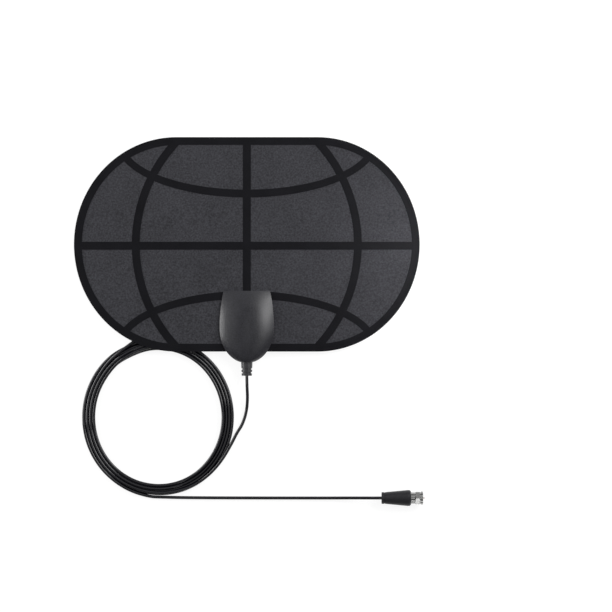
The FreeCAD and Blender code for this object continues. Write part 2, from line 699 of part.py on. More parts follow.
def cable_clamp():
    """A metal saddle that holds the cable's braid down on the board."""
    middle_y = f"({TIP_Y} + sizes.clamp_from_tip)"
    start_y = f"{middle_y} + sizes.clamp_length / 2"
    inner = f"({CABLE_RADIUS} + sizes.cord_clearance)"
    outer = f"({inner} + sizes.clamp_thickness)"
    foot_width = f"2 * ({outer} + sizes.clamp_foot)"
    arch = cylinder("clamp_arch", outer, "sizes.clamp_length", "0", start_y, CABLE_ON_BOARD, TOWARDS_CABLE)
    legs = box(
        "clamp_legs", f"2 * {outer}", "sizes.clamp_length", f"{CABLE_ON_BOARD} - {BOARD_TOP}",
        y=middle_y, z=BOARD_TOP)
    feet = box(
        "clamp_feet", foot_width, "sizes.clamp_length", "sizes.clamp_thickness", y=middle_y, z=BOARD_TOP)
    bore = cylinder("clamp_bore", inner, "sizes.clamp_length", "0", start_y, CABLE_ON_BOARD, TOWARDS_CABLE)
    mouth = box(
        "clamp_mouth", f"2 * {inner}", "sizes.clamp_length", f"{CABLE_ON_BOARD} - {BOARD_TOP}",
        y=middle_y, z=BOARD_TOP)
    space = box(
        "above_board", foot_width, "sizes.clamp_length", f"2 * {outer} + sizes.cable_diameter",
        y=middle_y, z=BOARD_TOP)
    body = common("clamp_body", fuse("clamp_blank", arch, legs, feet), space)
    keep(cut("clamp", body, fuse("clamp_space", bore, mouth)), "cable_clamp")


def cable_inner_end():
    """The stripped end of the cable on the board: insulation, then the bare middle wire."""
    jacket_end = f"({TIP_Y} + sizes.clamp_from_tip + sizes.clamp_length)"
    tube_end = f"({jacket_end} + sizes.dielectric_length)"
    wire_end = f"({jacket_end} + sizes.conductor_length)"
    outside = cylinder(
        "dielectric_blank", "sizes.dielectric_radius", "sizes.dielectric_length",
        "0", tube_end, CABLE_ON_BOARD, TOWARDS_CABLE)
    bore = cylinder(
        "dielectric_bore", "sizes.conductor_radius + sizes.thread_clearance", "sizes.dielectric_length",
        "0", tube_end, CABLE_ON_BOARD, TOWARDS_CABLE)
    keep(cut("dielectric", outside, bore), "coax_dielectric")
    wire = cylinder(
        "conductor", "sizes.conductor_radius", "sizes.conductor_length",
        "0", wire_end, CABLE_ON_BOARD, TOWARDS_CABLE)
    keep(wire, "coax_conductor")


def strain_relief():
    """The ribbed sleeve at the housing's tip, held by a neck and a collar inside the wall."""
    bore = f"({CABLE_RADIUS} + sizes.cord_clearance)"
    length = "sizes.relief_length"
    wall = "(sizes.housing_wall + sizes.relief_clearance)"
    collar = f"({wall} + sizes.relief_collar_length)"
    first = "(sizes.relief_length - 2 * sizes.relief_groove_width - 2 * sizes.relief_rib_width)"
    slope = "((sizes.relief_root_radius - sizes.relief_end_radius) / sizes.relief_length)"
    rib, groove = "sizes.relief_rib_width", "sizes.relief_groove_width"

    def skin(along):
        return f"(sizes.relief_root_radius - {slope} * {along})"

    def floor(along):
        return f"({skin(along)} - sizes.relief_groove_depth)"

    second = f"({first} + {groove})"
    third = f"({second} + {rib})"
    last = f"({third} + {groove})"
    outline = [
        (bore, f"-{collar}"), ("sizes.relief_collar_radius", f"-{collar}"),
        ("sizes.relief_collar_radius", f"-{wall}"), ("sizes.relief_neck_radius", f"-{wall}"),
        ("sizes.relief_neck_radius", "0"), ("sizes.relief_root_radius", "0"),
        (skin(first), first), (floor(first), first), (floor(second), second), (skin(second), second),
        (skin(third), third), (floor(third), third), (floor(last), last), (skin(last), last),
        ("sizes.relief_end_radius", length), (bore, length)]
    keep(turned("relief", outline, "0", TIP_Y, CABLE_Z, TOWARDS_CABLE), "strain_relief")


# Cable

def cord_path(points):
    """Straight runs joined by arcs as large as the runs allow; returns the wire and the radii."""
    edges, radii = [], []
    here = points[0]
    for before, corner, after in zip(points, points[1:], points[2:]):
        run_in, run_out = corner - before, after - corner
        turn = run_in.getAngle(run_out)
        reach = BEND_SHARE * min(run_in.Length, run_out.Length)
        radius = reach / math.tan(turn / 2)
        start = corner - run_in.normalize() * reach
        end = corner + run_out.normalize() * reach
        inward = (run_out - run_in).normalize()
        middle = corner + inward * (radius / math.cos(turn / 2) - radius)
        edges.append(Part.LineSegment(here, start).toShape())
        edges.append(Part.Arc(start, middle, end).toShape())
        radii.append(radius)
        here = end
    edges.append(Part.LineSegment(here, points[-1]).toShape())
    return Part.Wire(edges), radii


def cord(label, points):
    """A round cord along its route, checked against its section times its length."""
    radius = number(CABLE_RADIUS)
    wire, radii = cord_path(points)
    direction = points[1] - points[0]
    ring = Part.Wire(Part.makeCircle(radius, points[0], direction))
    item = doc.addObject("Part::Feature", label)
    item.Shape = wire.makePipeShell([ring], True, False)
    expected = math.pi * radius ** 2 * wire.Length
    if not math.isclose(item.Shape.Volume, expected, rel_tol=VOLUME_SHARE):
        raise RuntimeError(f"{label} has volume {item.Shape.Volume:.1f}, expected {expected:.1f}")
    print(f"{label}: {wire.Length:.1f} mm long, tightest bend {min(radii):.1f} mm")
    keep(item, label)


def on_table(points):
    """Route points lifted by the cord's own radius."""
    return [V(x, y, z + number(CABLE_RADIUS)) for x, y, z in points]


def cable_lead():
    """From the board, down to the strain relief, out of it and along the table to the coil."""
    tip, high, low = number(TIP_Y), number(CABLE_ON_BOARD), number(CABLE_Z)
    inside = number(f"{TIP_Y} + sizes.clamp_from_tip + sizes.clamp_length")
    over_edge = number(f"{PANEL_BOTTOM} + sizes.notch_depth - sizes.cable_diameter / 2")
    straight = number(f"{TIP_Y} + sizes.housing_wall + 2 * sizes.cable_diameter")
    outside = tip - number("sizes.relief_length") - LEAD_STRAIGHT
    points = [V(0, inside, high), V(0, over_edge, high), V(0, straight, low), V(0, outside, low)]
    cord("cable_lead", points + on_table(LEAD_OUTSIDE))


def cable_tail():
    """From the coil along the table, then up into the plug's boot."""
    x, y = PLUG_REAR
    axis_z = number("sizes.boot_front_radius")
    rise_end = V(x - TAIL_STRAIGHT, y, axis_z)
    end = V(x + number("sizes.boot_grip"), y, axis_z)
    cord("cable_tail", on_table(TAIL_ON_TABLE) + [rise_end, end])


def cable_coil():
    """The outer shape of the wound turns."""
    x, y = (str(value) for value in COIL_CENTRE)
    outside = oval("coil_outside", "sizes.coil_x_radius", "sizes.coil_y_radius", "sizes.coil_height", x, y)
    inside = oval(
        "coil_inside", "sizes.coil_x_radius - sizes.coil_band", "sizes.coil_y_radius - sizes.coil_band",
        "sizes.coil_height", x, y)
    ring = cut("coil_ring", outside, inside)
    doc.recompute()
    top = number("sizes.coil_height")
    rounding = number("sizes.coil_rounding")
    fillet = doc.addObject("Part::Fillet", "coil")
    fillet.Base = ring
    fillet.Edges = [
        (index, rounding, rounding) for index, edge in enumerate(ring.Shape.Edges, start=1)
        if all(abs(vertex.Z - top) < LEVEL_TOLERANCE for vertex in edge.Vertexes)]
    keep(fillet, "cable_coil")


# Plug

def plug_piece(name, label, outline):
    x, y = (str(value) for value in PLUG_REAR)
    return keep(turned(name, outline, x, y, "sizes.boot_front_radius", ALONG_X), label)


def plug_boot():
    bore = f"({CABLE_RADIUS} + sizes.cord_clearance)"
    socket = "(sizes.barrel_radius + sizes.cord_clearance)"
    waist = "(sizes.boot_rear_radius - sizes.boot_groove)"
    band = "sizes.boot_band"
    groove_end = f"{band} + 2 * sizes.boot_groove"
    shoulder = "(sizes.boot_length - sizes.boot_chamfer - sizes.boot_front_length)"
    seat = "(sizes.boot_length - sizes.barrel_length)"
    plug_piece("boot", "plug_boot", [
        (bore, "0"), ("sizes.boot_rear_radius", "0"), ("sizes.boot_rear_radius", band), (waist, band),
        (waist, groove_end), ("sizes.boot_rear_radius", groove_end), ("sizes.boot_front_radius", shoulder),
        ("sizes.boot_front_radius", "sizes.boot_length - sizes.boot_chamfer"),
        ("sizes.boot_front_radius - sizes.boot_chamfer", "sizes.boot_length"), (socket, "sizes.boot_length"),
        (socket, seat), ("0", seat), ("0", "sizes.boot_grip"), (bore, "sizes.boot_grip")])


def plug_body():
    """The metal body: a barrel in the boot, a collar, and a flanged neck inside the nut."""
    back = "(sizes.boot_length - sizes.barrel_length)"
    front = "(sizes.boot_length + sizes.collar_length)"
    flange = f"({front} + sizes.neck_length)"
    face = f"({flange} + sizes.flange_length)"
    bore = "(sizes.insulator_radius + sizes.thread_clearance)"
    plug_piece("body", "plug_body", [
        (bore, back), ("sizes.barrel_radius", back), ("sizes.barrel_radius", "sizes.boot_length"),
        ("sizes.collar_radius", "sizes.boot_length"), ("sizes.collar_radius", front),
        ("sizes.neck_radius", front), ("sizes.neck_radius", flange), ("sizes.flange_radius", flange),
        ("sizes.flange_radius", face), (bore, face)])
    pin_bore = "(sizes.pin_root_radius + sizes.thread_clearance)"
    plug_piece("insulator", "plug_insulator", [
        (pin_bore, back), ("sizes.insulator_radius", back),
        ("sizes.insulator_radius", face), (pin_bore, face)])
    tip = f"({NUT_END} + sizes.pin_stickout)"
    plug_piece("pin", "centre_pin", [
        ("0", back), ("sizes.pin_root_radius", back), ("sizes.pin_root_radius", face),
        ("sizes.pin_radius", face), ("sizes.pin_radius", f"{tip} - sizes.pin_point"),
        ("sizes.pin_radius - sizes.pin_point", tip), ("0", tip)])


def coupling_nut():
    """A hexagon nut with a grooved front lip; its rear lip runs on the body's neck."""
    x, y = (str(value) for value in PLUG_REAR)
    axis_z = "sizes.boot_front_radius"
    bore = "(sizes.neck_radius + sizes.nut_fit)"
    corner = "(sizes.nut_across_corners / 2)"
    lip_end = f"({NUT_START} + sizes.neck_length - 2 * sizes.nut_play)"
    hex_end = f"({NUT_START} + sizes.nut_hex_length)"
    groove_end = f"({hex_end} + sizes.nut_groove_width)"
    blank = turned("nut_blank", [
        (bore, NUT_START), ("sizes.nut_rear_radius", NUT_START),
        (corner, f"{NUT_START} + sizes.nut_chamfer"), (corner, hex_end),
        ("sizes.nut_groove_radius", hex_end), ("sizes.nut_groove_radius", groove_end),
        ("sizes.nut_lip_radius", groove_end), ("sizes.nut_lip_radius", f"{NUT_END} - sizes.nut_lip_chamfer"),
        ("sizes.nut_lip_radius - sizes.nut_lip_chamfer", NUT_END), ("sizes.thread_radius", NUT_END),
        ("sizes.thread_radius", lip_end), (bore, lip_end)], x, y, axis_z, ALONG_X)
    start_x = f"{x} + {NUT_START}"
    round_bar = cylinder(
        "nut_round", f"{corner} + sizes.nut_chamfer", "sizes.nut_hex_length", start_x, y, axis_z, ALONG_X)
    hexagon = doc.addObject("Part::Prism", "nut_hexagon")
    hexagon.Polygon = HEX_SIDES
    bind(hexagon, Circumradius=corner, Height="sizes.nut_hex_length")
    place(hexagon, start_x, y, axis_z, ALONG_X)
    keep(cut("nut", blank, cut("nut_flats", round_bar, hexagon)), "coupling_nut")


def build():
    form = housing_loft("housing_form", "0")
    space = housing_loft("housing_space", "sizes.housing_wall")
    holes = panel_holes()
    panel_sheets(holes)
    panel_foils(holes)
    globe_lines(space)
    housing_shells(form, space)
    housing_screws()
    matching_board()
    foil_rivets()
    balun_core()
    cable_clamp()
    cable_inner_end()
    strain_relief()
    cable_lead()
    cord("cable_fold", on_table(FOLD))
    cable_tail()
    cable_coil()
    plug_boot()
    plug_body()
    coupling_nut()
    doc.recompute()


def check_and_write():
    failed = [item.Name for item in doc.Objects if {"Invalid", "Error"} & set(item.State)]
    if failed:
        raise RuntimeError(f"objects failed: {failed}")
    for item in subparts:
        if item.Shape.isNull() or not item.Shape.isValid() or not item.Shape.Solids:
            raise RuntimeError(f"{item.Label} has no valid solid")
    os.makedirs("parts", exist_ok=True)
    for item in subparts:
        item.Shape.exportStep(f"parts/{item.Label}.step")
        box_now = item.Shape.BoundBox
        print(f"{item.Label}: {len(item.Shape.Solids)} solid, {item.Shape.Volume:.1f} mm3,"
              f" x {box_now.XMin:.2f}..{box_now.XMax:.2f}, y {box_now.YMin:.2f}..{box_now.YMax:.2f},"
              f" z {box_now.ZMin:.2f}..{box_now.ZMax:.2f}")


build()
check_and_write()
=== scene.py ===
"""Looks of an indoor TV antenna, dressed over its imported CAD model.

Laid out as an add-on: each operator makes or finishes one group of pieces.
Metres, in the model's frame: +X along the panel, +Y from the cable end to the far edge, +Z up.
"""
import math

import bmesh
import bpy
from bpy.props import FloatProperty, FloatVectorProperty, IntProperty, PointerProperty
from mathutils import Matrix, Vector


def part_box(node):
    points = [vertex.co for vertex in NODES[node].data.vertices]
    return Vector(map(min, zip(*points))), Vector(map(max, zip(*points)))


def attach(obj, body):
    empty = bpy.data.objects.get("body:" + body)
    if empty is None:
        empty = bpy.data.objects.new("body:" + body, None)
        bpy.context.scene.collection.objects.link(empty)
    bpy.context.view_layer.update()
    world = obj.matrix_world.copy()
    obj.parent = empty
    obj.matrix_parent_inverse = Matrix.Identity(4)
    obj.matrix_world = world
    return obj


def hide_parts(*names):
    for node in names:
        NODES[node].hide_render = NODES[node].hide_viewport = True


bl_info = {
    "name": "Indoor TV antenna",
    "version": (1, 0, 0),
    "blender": (4, 5, 0),
    "location": "View3D > Sidebar > Antenna",
    "description": "Cable, finishes and studio of an indoor TV antenna",
    "category": "Object",
}

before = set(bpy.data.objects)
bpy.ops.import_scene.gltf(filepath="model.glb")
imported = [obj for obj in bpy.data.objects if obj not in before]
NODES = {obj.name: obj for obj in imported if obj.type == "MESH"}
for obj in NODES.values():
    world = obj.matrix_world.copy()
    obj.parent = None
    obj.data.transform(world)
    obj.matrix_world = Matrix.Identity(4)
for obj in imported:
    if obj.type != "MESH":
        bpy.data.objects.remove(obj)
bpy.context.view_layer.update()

# Coil: the middle of its band is an ellipse
COIL_CENTRE = (-0.0850, -0.1537)
COIL_RADII = (0.0667, 0.0705)
FULL_TURN = 360

# Share that a control point has in the spline beside it; its two neighbours have the rest
POINT_SHARE = 0.75

# Cable from the board, out of the strain relief and along the table towards the coil
LEAD = (
    (0.0000, -0.0740, 0.0098),
    (0.0000, -0.0800, 0.0098),
    (0.0000, -0.0835, 0.0098),
    (0.0000, -0.0932, 0.0070),
    (0.0000, -0.1210, 0.0070),
    (0.0008, -0.1355, 0.0049),
    (-0.0003, -0.1485, 0.0021),
    (-0.0043, -0.1610, 0.0015),
    (-0.0096, -0.1688, 0.0016),
)

# Bight under the panel, where the cable turns back on itself
FOLD = (
    (-0.1180, -0.0888, 0.0041),
    (-0.1060, -0.0800, 0.0035),
    (-0.0940, -0.0710, 0.0018),
    (-0.0830, -0.0610, 0.0015),
    (-0.0730, -0.0500, 0.0015),
    (-0.0620, -0.0410, 0.0015),
    (-0.0490, -0.0380, 0.0015),
    (-0.0370, -0.0440, 0.0015),
    (-0.0330, -0.0570, 0.0015),
    (-0.0390, -0.0690, 0.0015),
    (-0.0520, -0.0760, 0.0022),
    (-0.0670, -0.0798, 0.0041),
    (-0.0820, -0.0823, 0.0044),
    (-0.0960, -0.0844, 0.0041),
)

# Cable from the coil along the table and up into the plug
TAIL = (
    (-0.0820, -0.2302, 0.0015),
    (-0.0520, -0.2309, 0.0015),
    (0.0680, -0.2311, 0.0015),
    (0.0970, -0.2309, 0.0032),
    (0.1166, -0.2307, 0.0076),
    (0.1351, -0.2307, 0.0076),
)

# First strand, wound clockwise: angle in degrees, offset from the band's middle, height
FIRST_STRAND = (
    (-18, 0.0073, 0.0025),
    (-33, 0.0054, 0.0047),
    (-48, 0.0044, 0.0046),
    (-63, 0.0035, 0.0045),
    (-78, 0.0023, 0.00435),
    (-93, 0.0012, 0.0042),
    (-108, 0.0010, 0.0042),
    (-213, 0.0010, 0.0042),
    (-228, 0.0019, 0.0045),
)

# Other strands, wound the other way, a row for each turn and one for the last half turn.
# They change places at the coil's bottom, from 264 to 309 degrees, and past 414 degrees,
# most of the way under the panel.
WINDING = (
    (
        (114, -0.0013, 0.00405), (129, -0.0016, 0.0045), (144, -0.0022, 0.0042),
        (264, -0.0022, 0.0042), (279, -0.0020, 0.0040), (294, -0.00165, 0.0030),
        (309, -0.00147, 0.0015), (414, -0.00147, 0.0015), (429, -0.00145, 0.0039),
        (444, -0.00215, 0.0045), (459, -0.0034, 0.0045), (474, -0.00425, 0.0041),
        (489, -0.0046, 0.0045),
    ),
    (
        (144, -0.0054, 0.0039), (264, -0.0054, 0.0039), (279, -0.0051, 0.00425),
        (294, -0.0047, 0.00445), (309, -0.0044, 0.0045), (414, -0.0044, 0.0045),
        (429, -0.0046, 0.0045), (444, -0.00495, 0.0032), (459, -0.0050, 0.0017),
        (474, -0.00572, 0.0015), (489, -0.0046, 0.0015),
    ),
    (
        (144, -0.0035, 0.0015), (264, -0.0035, 0.0015), (309, -0.0044, 0.0015),
        (414, -0.0044, 0.0015), (429, -0.0039, 0.0015), (444, -0.0024, 0.0015),
        (459, -0.00175, 0.0015), (474, -0.00278, 0.0015), (489, -0.00165, 0.0015),
    ),
    (
        (144, -0.00056, 0.0015), (264, -0.00056, 0.0015), (309, 0.00147, 0.0015),
        (429, 0.00147, 0.0015), (444, 0.0014, 0.0015), (459, 0.0012, 0.0015),
        (474, 0.00016, 0.0015), (489, 0.0013, 0.0015),
    ),
    (
        (144, 0.0024, 0.0015), (264, 0.0024, 0.0015), (309, 0.0044, 0.0015),
        (429, 0.0044, 0.0015), (444, 0.00435, 0.0015), (459, 0.00415, 0.0015),
        (474, 0.0031, 0.0015), (489, 0.0043, 0.0021),
    ),
    ((144, 0.0042, 0.0039), (234, 0.0042, 0.0039), (249, 0.0047, 0.0034), (264, 0.0054, 0.0020)),
)

PLUG_NODES = ("plug_boot", "plug_body", "plug_insulator", "centre_pin", "coupling_nut")

# Thread in the nut: its foot is a share of the pitch wide and sinks a little into the bore's wall
NUT_BORE = 0.00445
THREAD_END_ROOM = 0.0003
THREAD_STEPS = 48
FOOT_SHARE = 0.92
FOOT_SINK = 0.00005

# Stage: the table's reach from the middle and its gap below the part, the spots that the lamps
# look at, and the place on the table in the middle of the view
TABLE_REACH = 4.0
TABLE_GAP = 0.0002
PANEL_SPOT = (0.0, -0.05, 0.0)
PLUG_SPOT = (0.16, -0.23, 0.0)
END_SPOT = (0.23, 0.01, 0.0)
VIEW_CENTRE = (0.0565, -0.0475)
SENSOR_WIDTH = 36.0

# White that the camera sees on the table: its share of the table and its strength
WHITE_SHARE = 0.75
WHITE_STRENGTH = 1.15

# Studio light, by the height of a direction: where the soft band begins and ends, and where the
# glow overhead begins. Towards the near side the band fades out.
BAND_FOOT = (0.45, 0.65)
BAND_TOP = (0.82, 0.95)
BAND_NEAR = (-0.55, -0.10)
OVERHEAD = (0.975, 0.99)

# Where most values of a noise lie
NOISE_RANGE = (0.3, 0.7)


def linear(*levels):
    """A colour from its levels on a screen, 0 to 255."""
    shares = [level / 255 for level in levels]
    return tuple(s / 12.92 if s <= 0.04045 else ((s + 0.055) / 1.055) ** 2.4 for s in shares)


def shade(colour, factor):
    """A colour made lighter or darker, with full opacity."""
    return (*(min(1.0, channel * factor) for channel in colour), 1.0)


# Shader helpers

class Wire:
    """A shader socket; arithmetic on it adds Math nodes."""

    def __init__(self, finish, socket):
        self.finish = finish
        self.socket = socket

    def other(self, name):
        """Another output of the same node."""
        return Wire(self.finish, self.socket.node.outputs[name])

    def math(self, operation, *values):
        return self.finish.node("ShaderNodeMath", {"operation": operation}, dict(enumerate(values)))

    def sine(self):
        return self.math("SINE", self)

    def __add__(self, other):
        return self.math("ADD", self, other)

    def __sub__(self, other):
        return self.math("SUBTRACT", self, other)

    def __rsub__(self, other):
        return self.math("SUBTRACT", other, self)

    def __mul__(self, other):
        return self.math("MULTIPLY", self, other)

    __radd__ = __add__
    __rmul__ = __mul__


class Finish:
    """The node tree of a material or a world, put together step by step."""

    def __init__(self, owner):
        owner.use_nodes = True
        self.owner = owner
        self.tree = owner.node_tree
        self.tree.nodes.clear()

    def node(self, kind, settings=None, sockets=None, output=0):
        """Adds a node: its settings first, then the values or links of its sockets."""
        node = self.tree.nodes.new(kind)
        for name, value in (settings or {}).items():
            setattr(node, name, value)
        for name, value in (sockets or {}).items():
            if isinstance(value, Wire):
                self.tree.links.new(value.socket, node.inputs[name])
            else:
                node.inputs[name].default_value = value
        return Wire(self, node.outputs[output]) if node.outputs else None

    def place(self, scale=(1.0, 1.0, 1.0)):
        """The piece's own coordinates, stretched by the scale."""
        own = self.node("ShaderNodeTexCoord", output="Object")
        sockets = {"Vector": own, "Scale": scale}
        return self.node("ShaderNodeMapping", {"vector_type": "POINT"}, sockets)

    def noise(self, size, detail=2.0, scale=(1.0, 1.0, 1.0)):
        """Cloudy noise from 0 to 1 whose grains have that size in metres."""
        sockets = {"Vector": self.place(scale), "Scale": 1.0 / size, "Detail": detail, "Roughness": 0.55}
        return self.node("ShaderNodeTexNoise", {}, sockets, "Fac")

    def ramp(self, value, low, high, out_low=0.0, out_high=1.0):
        """The value's stretch from low to high, spread over the output's."""
        sockets = {0: value, 1: low, 2: high, 3: out_low, 4: out_high}
        return self.node("ShaderNodeMapRange", {"clamp": True}, sockets)

    def vary(self, noise, low=0.0, high=1.0):
        """A value that goes from low to high as the noise does."""
        return self.ramp(noise, *NOISE_RANGE, low, high)

    def tones(self, share, colour, first, second):
        """Two shades of a colour, mixed by a share."""
        sockets = {0: share, 6: shade(colour, first), 7: shade(colour, second)}
        return self.node("ShaderNodeMix", {"data_type": "RGBA"}, sockets, 2)

    def bump(self, height, depth):
        """A normal from a height of 0 to 1 that stands for that depth in metres."""
        return self.node("ShaderNodeBump", {}, {"Height": height, "Distance": depth})

    def blend(self, share, first, second):
        """Two shaders mixed by a share."""
        return self.node("ShaderNodeMixShader", {}, {0: share, 1: first, 2: second})

    def surface(self, sockets):
        """Closes a material with a principled surface."""
        shader = self.node("ShaderNodeBsdfPrincipled", {}, sockets)
        self.node("ShaderNodeOutputMaterial", {}, {"Surface": shader})
        return self.owner


def new_finish(name):
    """An empty material to put together."""
    return Finish(bpy.data.materials.new(name))


def dress(material, *nodes):
    """Gives CAD nodes a material in place of their plain one."""
    for name in nodes:
        NODES[name].data.materials.clear()
        NODES[name].data.materials.append(material)


# Finishes

def woven_film(name, colour, thread_pitch):
    """Dark film with a fine woven grain and faint clouds."""
    finish = new_finish(name)
    across = finish.node("ShaderNodeSeparateXYZ", {}, {"Vector": finish.place()}, "X")
    turns = 2 * math.pi / thread_pitch
    weave = (across * turns).sine() * (across.other("Y") * turns).sine()
    clouds = finish.noise(size=0.030, detail=3.0)
    grain = finish.noise(size=0.0016)
    tone = weave * 0.08 + grain * 0.8 + clouds * 0.2
    return finish.surface({
        "Base Color": finish.tones(finish.vary(tone), colour, 0.55, 1.45),
        "Roughness": finish.vary(grain, 0.5, 0.7),
        "Normal": finish.bump(weave * 0.5 + grain, depth=0.00008),
        "Specular IOR Level": 0.1,
    })


def printed_line(name, colour):
    """Near-black print with a slightly uneven gloss."""
    finish = new_finish(name)
    grain = finish.noise(size=0.0008)
    clouds = finish.noise(size=0.020)
    tone = grain * 0.6 + clouds * 0.4
    return finish.surface({
        "Base Color": finish.tones(finish.vary(tone), colour, 0.6, 1.4),
        "Roughness": finish.vary(clouds, 0.5, 0.62),
        "Normal": finish.bump(grain, depth=0.00004),
        "Specular IOR Level": 0.1,
    })


def moulded_plastic(name, colour, roughness, grain_size=0.0004, depth=0.00003, speckle=0.1, gloss=0.5):
    """Moulded plastic with an eroded mould's fine texture."""
    finish = new_finish(name)
    grain = finish.noise(grain_size)
    clouds = finish.noise(size=0.012, detail=3.0)
    tone = grain * 0.8 + clouds * 0.2
    sheen = grain * 0.5 + clouds * 0.5
    return finish.surface({
        "Base Color": finish.tones(finish.vary(tone), colour, 1 - speckle, 1 + speckle),
        "Roughness": finish.vary(sheen, roughness - 0.06, roughness + 0.06),
        "Normal": finish.bump(grain, depth),
        "Specular IOR Level": gloss,
    })


def vinyl_jacket(name, colour):
    """Glossy cable jacket with a faint orange-peel skin."""
    finish = new_finish(name)
    peel = finish.noise(size=0.0012)
    dust = finish.noise(size=0.0003, detail=1.0)
    return finish.surface({
        "Base Color": finish.tones(finish.ramp(dust, 0.35, 0.65), colour, 0.85, 1.2),
        "Roughness": finish.vary(peel, 0.10, 0.14),
        "Normal": finish.bump(peel, depth=0.000006),
        "Specular IOR Level": 0.55,
    })


def plated_metal(name, colour, roughness):
    """Turned metal: fine lathe lines round the plug's axis, and faint stains."""
    finish = new_finish(name)
    lines = finish.noise(size=0.00008, detail=1.0, scale=(1.0, 0.02, 0.02))
    stains = finish.noise(size=0.004, detail=3.0)
    sheen = lines * 0.6 + stains * 0.4
    return finish.surface({
        "Base Color": finish.tones(finish.ramp(stains, 0.3, 0.75), colour, 0.88, 1.05),
        "Metallic": 1.0,
        "Roughness": finish.vary(sheen, roughness - 0.06, roughness + 0.1),
        "Normal": finish.bump(lines, depth=0.00001),
    })


def sheet_metal(name, colour, roughness):
    """Rolled metal with long fine lines."""
    finish = new_finish(name)
    lines = finish.noise(size=0.0004, scale=(0.05, 1.0, 1.0))
    stains = finish.noise(size=0.010, detail=3.0)
    return finish.surface({
        "Base Color": finish.tones(finish.vary(stains), colour, 0.85, 1.05),
        "Metallic": 1.0,
        "Roughness": finish.vary(lines, roughness - 0.08, roughness + 0.08),
        "Normal": finish.bump(lines, depth=0.00001),
    })


def circuit_board(name, colour, track_pitch=0.009):
    """Green laminate with darker tracks under the lacquer."""
    finish = new_finish(name)
    across = finish.node("ShaderNodeSeparateXYZ", {}, {"Vector": finish.place()}, "X")
    tracks = finish.ramp((across * (2 * math.pi / track_pitch)).sine(), 0.55, 0.75)
    weave = finish.noise(size=0.0006, detail=1.0)
    return finish.surface({
        "Base Color": finish.tones(tracks, colour, 1.0, 0.55),
        "Roughness": finish.vary(weave, 0.28, 0.4),
        "Normal": finish.bump(tracks * 0.8 + weave * 0.2, depth=0.00004),
    })


# Sizes and colours that a user may change

class CableSettings(bpy.types.PropertyGroup):
    diameter: FloatProperty(
        name="Diameter", description="Outside diameter of the cable",
        default=0.003, min=0.001, max=0.01, unit="LENGTH")
    step: IntProperty(
        name="Step", description="Degrees of the coil between two control points",
        default=15, min=5, max=30)
    colour: FloatVectorProperty(
        name="Jacket", description="Colour of the cable's jacket",
        default=linear(8, 8, 15), subtype="COLOR")


class PanelSettings(bpy.types.PropertyGroup):
    film: FloatVectorProperty(
        name="Film", description="Colour of the panel's sheets",
        default=linear(54, 54, 58), subtype="COLOR")
    lines: FloatVectorProperty(
        name="Lines", description="Colour of the globe lines",
        default=linear(15, 15, 19), subtype="COLOR")
    thread_pitch: FloatProperty(
        name="Thread pitch", description="Distance between threads of the film's grain",
        default=0.0008, min=0.0002, max=0.005, unit="LENGTH")


class HousingSettings(bpy.types.PropertyGroup):
    plastic: FloatVectorProperty(
        name="Plastic", description="Colour of the housing",
        default=linear(33, 33, 38), subtype="COLOR")
    relief: FloatVectorProperty(
        name="Strain relief", description="Colour of the strain relief",
        default=linear(42, 42, 45), subtype="COLOR")


class InsideSettings(bpy.types.PropertyGroup):
    laminate: FloatVectorProperty(
        name="Board", description="Colour of the circuit board",
        default=linear(40, 96, 58), subtype="COLOR")


class PlugSettings(bpy.types.PropertyGroup):
    boot: FloatVectorProperty(
        name="Boot", description="Colour of the plug's boot",
        default=linear(28, 28, 31), subtype="COLOR")
    plating: FloatVectorProperty(
        name="Plating", description="Colour of the plated metal",
        default=linear(162, 162, 161), subtype="COLOR")
    thread_pitch: FloatProperty(
        name="Thread pitch", description="Distance between turns of the nut's thread",
        default=0.00079375, min=0.0003, max=0.002, unit="LENGTH")
    thread_depth: FloatProperty(
        name="Thread depth", description="Height of the nut's thread",
        default=0.00022, min=0.00005, max=0.0006, unit="LENGTH")


class StageSettings(bpy.types.PropertyGroup):
    floor: FloatVectorProperty(
        name="Floor", description="Colour of the table",
        default=(0.85, 0.85, 0.85), subtype="COLOR")
    camera_height: FloatProperty(
        name="Camera height", description="Height of the camera over the table",
        default=3.0, min=0.5, max=20.0, unit="LENGTH")
    view_width: FloatProperty(
        name="View width", description="Width of the table that the camera sees",
        default=0.5854, min=0.05, max=5.0, unit="LENGTH")
    right_power: FloatProperty(
        name="Right light", description="Power of the lamp on the right",
        default=5.6, min=0.0, unit="POWER")
    left_power: FloatProperty(
        name="Left light", description="Power of the low lamp on the left",
        default=6.3, min=0.0, unit="POWER")
    end_power: FloatProperty(
        name="End light", description="Power of the narrow lamp over the panel's right end",
        default=0.09, min=0.0, unit="POWER")
    near_power: FloatProperty(
        name="Near light", description="Power of the lamp at the plug's side",
        default=0.28, min=0.0, unit="POWER")


# Cable

def between(keys, angle):
    """Offset and height at an angle, on the straight way between the keys on its two sides."""
    for (start, *here), (end, *there) in zip(keys, keys[1:]):
        if min(start, end) <= angle <= max(start, end):
            share = (angle - start) / (end - start)
            return [a + (b - a) * share for a, b in zip(here, there)]
    raise ValueError(f"angle {angle} lies outside the strand")


def winding_keys():
    """All the strands that run the second way, as one list of angles, offsets and heights."""
    keys = []
    for turn, strand in enumerate(WINDING):
        keys += [(turn * FULL_TURN + angle, *place) for angle, *place in strand]
    return keys


